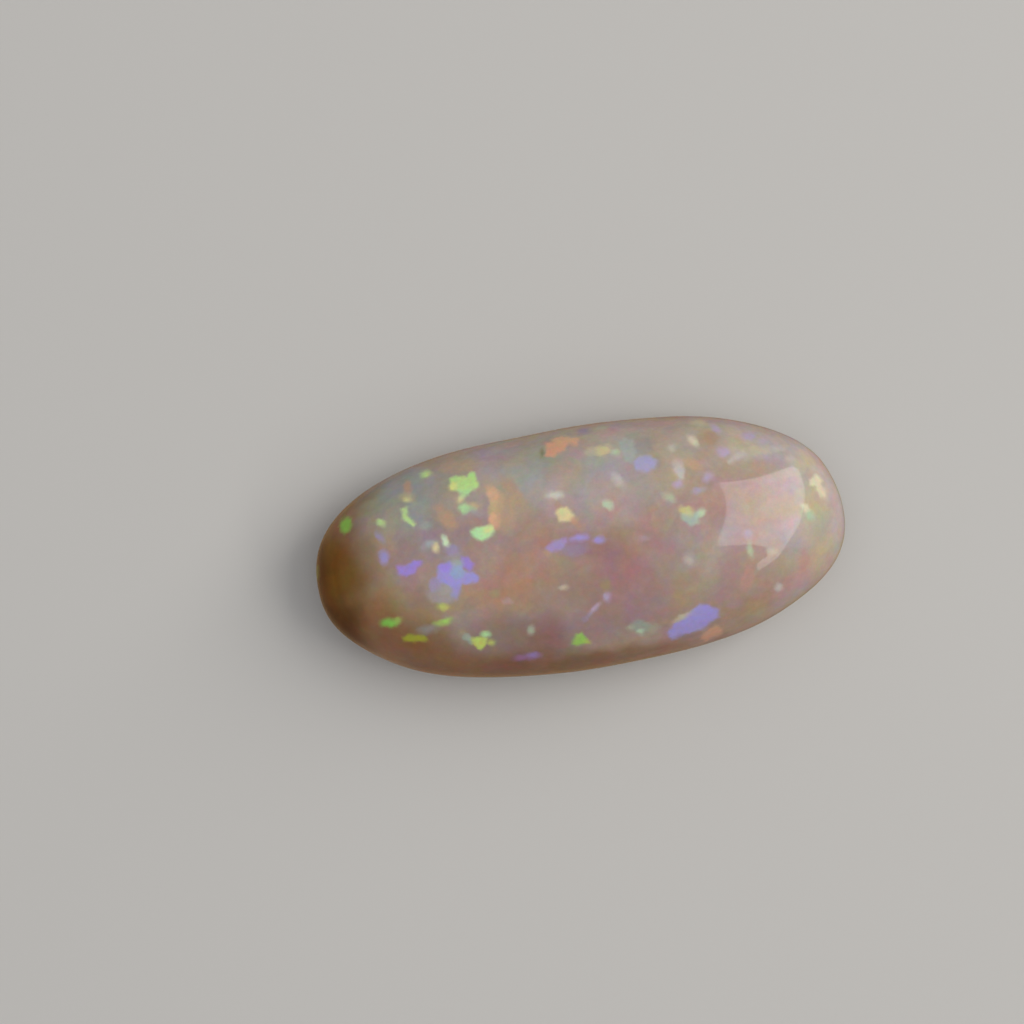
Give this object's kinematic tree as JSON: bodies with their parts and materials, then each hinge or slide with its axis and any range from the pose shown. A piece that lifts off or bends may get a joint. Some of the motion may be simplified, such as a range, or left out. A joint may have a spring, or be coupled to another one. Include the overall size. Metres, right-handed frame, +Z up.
{
  "type": "polished opal cabochon",
  "caption": "Long oval opal, cut and polished as a high smooth dome with a rounded girdle and a flat back to rest on.",
  "frame": {"origin": "on the flat back, under the middle of the stone's length and width", "axes": "+X along the stone, towards the paler end; +Y across it; +Z up from the flat back, out of the dome"},
  "size_m": [0.02, 0.0092, 0.0054],
  "materials": {
    "opal": "polished"
  },
  "bodies": {
    "root": {"opal_cabochon": "opal"}
  },
  "joints": []
}
